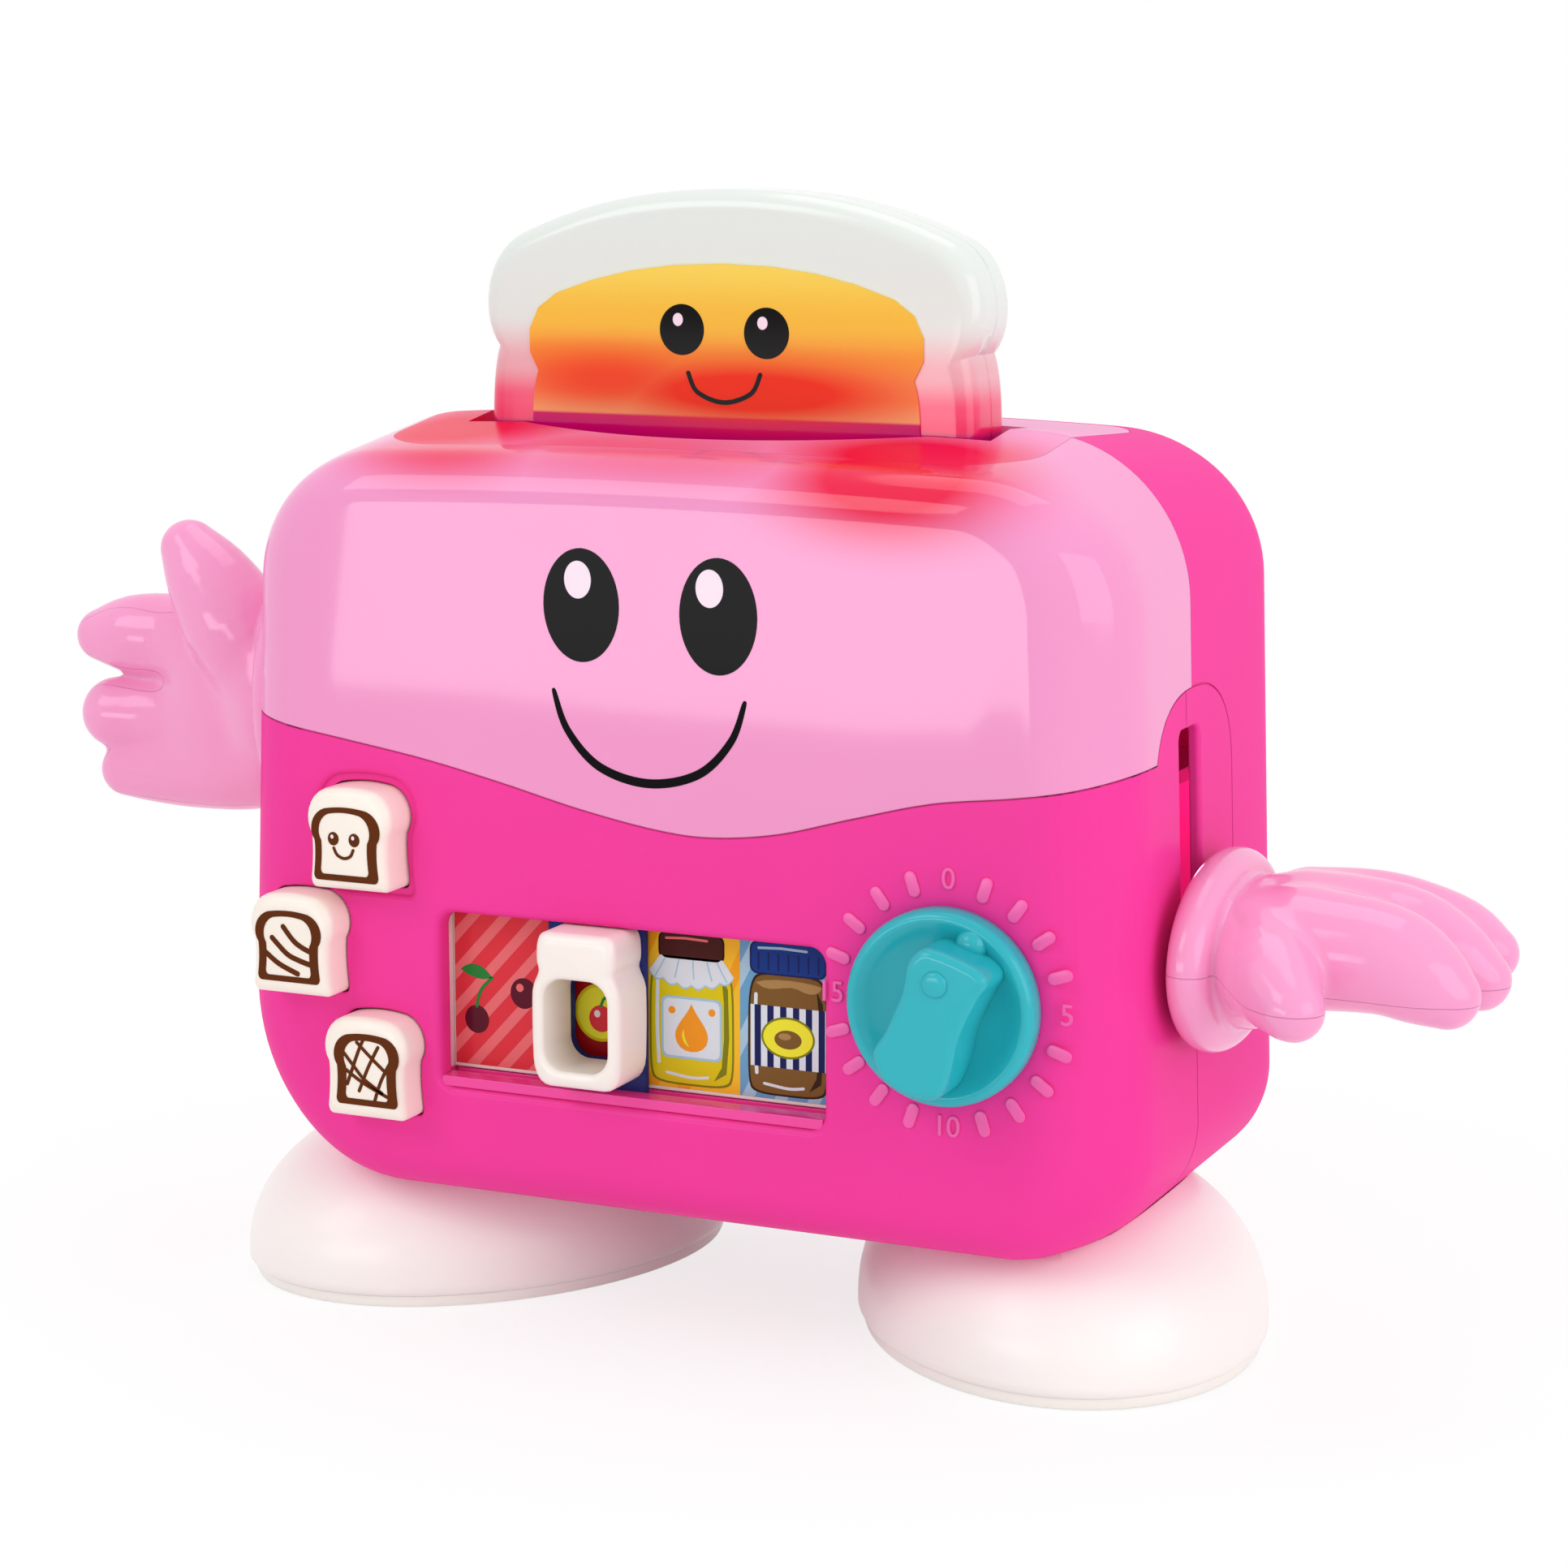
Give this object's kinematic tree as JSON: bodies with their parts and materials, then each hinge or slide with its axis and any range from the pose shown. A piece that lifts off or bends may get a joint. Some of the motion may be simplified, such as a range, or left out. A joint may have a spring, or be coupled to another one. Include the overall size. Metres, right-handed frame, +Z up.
{
  "type": "toy toaster playset",
  "caption": "Two-tone moulded toy toaster on dome feet, with pop-up toast, hand-shaped lever, waving hand, push buttons, picture slider and turning dial.",
  "frame": {"origin": "on the floor under the middle of the whole toy", "axes": "+X to the toy's right as seen from the front, through the lever hand; -Y to the front face; +Z up"},
  "size_m": [0.3728, 0.146, 0.2683],
  "materials": {
    "front_upper_shell": "smooth moulded",
    "front_lower_shell": "smooth moulded",
    "rear_shell": "smooth moulded",
    "slot_collar_front": "smooth moulded",
    "slot_collar_rear": "smooth moulded",
    "slot_well": "moulded",
    "slider_tray": "moulded",
    "picture_card": "printed in panels",
    "jar_slider": "smooth moulded",
    "jar_slider_clip": "moulded",
    "dial": "satin moulded",
    "dial_shaft": "moulded",
    "timer_unit": "moulded",
    "smile_button": "smooth, printed face",
    "stripe_button": "smooth, printed face",
    "lattice_button": "smooth, printed face",
    "button_keypad": "soft",
    "switch_board": "coated board",
    "main_board": "coated board",
    "speaker": "paper cone in a steel rim",
    "left_led": "glowing lens",
    "right_led": "glowing lens",
    "battery_box": "moulded",
    "battery_1": "plain sleeve",
    "battery_2": "plain sleeve",
    "battery_3": "plain sleeve",
    "battery_door": "smooth moulded",
    "door_screw": "bright",
    "housing_screw_1": "bright",
    "housing_screw_2": "bright",
    "housing_screw_3": "bright",
    "housing_screw_4": "bright",
    "lever_bracket": "moulded",
    "guide_rod_1": "bright",
    "guide_rod_2": "bright",
    "lever_carriage": "moulded",
    "toast_tray": "moulded",
    "hold_magnet": "ground",
    "right_hand_upper": "satin moulded",
    "right_hand_lower": "satin moulded",
    "left_hand_back": "satin moulded",
    "left_hand_palm": "satin moulded",
    "left_arm_hub": "moulded",
    "toast_front": "smooth moulded",
    "toast_back": "smooth moulded",
    "toast_sticker": "printed sheet",
    "left_foot": "glossy moulded",
    "right_foot": "glossy moulded",
    "left_sole": "moulded",
    "right_sole": "moulded",
    "power_knob": "moulded",
    "power_switch": "moulded"
  },
  "bodies": {
    "housing": {"front_upper_shell": "front_upper_shell", "front_lower_shell": "front_lower_shell", "rear_shell": "rear_shell", "slot_collar_front": "slot_collar_front", "slot_collar_rear": "slot_collar_rear", "slot_well": "slot_well", "slider_tray": "slider_tray", "picture_card": "picture_card", "timer_unit": "timer_unit", "button_keypad": "button_keypad", "switch_board": "switch_board", "main_board": "main_board", "speaker": "speaker", "left_led": "left_led", "right_led": "right_led", "battery_box": "battery_box", "battery_1": "battery_1", "battery_2": "battery_2", "battery_3": "battery_3", "battery_door": "battery_door", "door_screw": "door_screw", "housing_screw_1": "housing_screw_1", "housing_screw_2": "housing_screw_2", "housing_screw_3": "housing_screw_3", "housing_screw_4": "housing_screw_4", "lever_bracket": "lever_bracket", "guide_rod_1": "guide_rod_1", "guide_rod_2": "guide_rod_2", "hold_magnet": "hold_magnet", "left_foot": "left_foot", "right_foot": "right_foot", "left_sole": "left_sole", "right_sole": "right_sole", "power_switch": "power_switch"},
    "lever": {"lever_carriage": "lever_carriage", "toast_tray": "toast_tray", "right_hand_upper": "right_hand_upper", "right_hand_lower": "right_hand_lower"},
    "toast": {"toast_front": "toast_front", "toast_back": "toast_back", "toast_sticker": "toast_sticker"},
    "smile_button": {"smile_button": "smile_button"},
    "stripe_button": {"stripe_button": "stripe_button"},
    "lattice_button": {"lattice_button": "lattice_button"},
    "picture_slider": {"jar_slider": "jar_slider", "jar_slider_clip": "jar_slider_clip"},
    "dial": {"dial": "dial", "dial_shaft": "dial_shaft"},
    "left_arm": {"left_hand_back": "left_hand_back", "left_hand_palm": "left_hand_palm", "left_arm_hub": "left_arm_hub"},
    "power_knob": {"power_knob": "power_knob"}
  },
  "joints": [
    {"name": "lever_slide", "type": "slide", "parent": "housing", "child": "lever", "axis": [0, 0, 1], "range_m": [0, 0.043]},
    {"name": "toast_lift", "type": "slide", "parent": "lever", "child": "toast", "axis": [0, 0, 1], "range_m": [0, 0.07]},
    {"name": "smile_button_press", "type": "slide", "parent": "housing", "child": "smile_button", "axis": [0, 1, 0], "range_m": [0, 0.0025], "stiffness_N_per_m": 300, "springref_m": -0.001},
    {"name": "stripe_button_press", "type": "slide", "parent": "housing", "child": "stripe_button", "axis": [0, 1, 0], "range_m": [0, 0.0025], "stiffness_N_per_m": 300, "springref_m": -0.001},
    {"name": "lattice_button_press", "type": "slide", "parent": "housing", "child": "lattice_button", "axis": [0, 1, 0], "range_m": [0, 0.0025], "stiffness_N_per_m": 300, "springref_m": -0.001},
    {"name": "picture_slide", "type": "slide", "parent": "housing", "child": "picture_slider", "axis": [1, 0, 0], "range_m": [-0.0284, 0.0464]},
    {"name": "dial_turn", "type": "hinge", "parent": "housing", "child": "dial", "pos_m": [0.0732, -0.055, 0.092], "axis": [0, -1, 0], "continuous": true},
    {"name": "left_arm_swivel", "type": "hinge", "parent": "housing", "child": "left_arm", "pos_m": [-0.115, -0.004, 0.142], "axis": [1, 0, 0], "range_deg": [-90, 90]},
    {"name": "power_slide", "type": "slide", "parent": "housing", "child": "power_knob", "axis": [1, 0, 0], "range_m": [0, 0.006]}
  ]
}
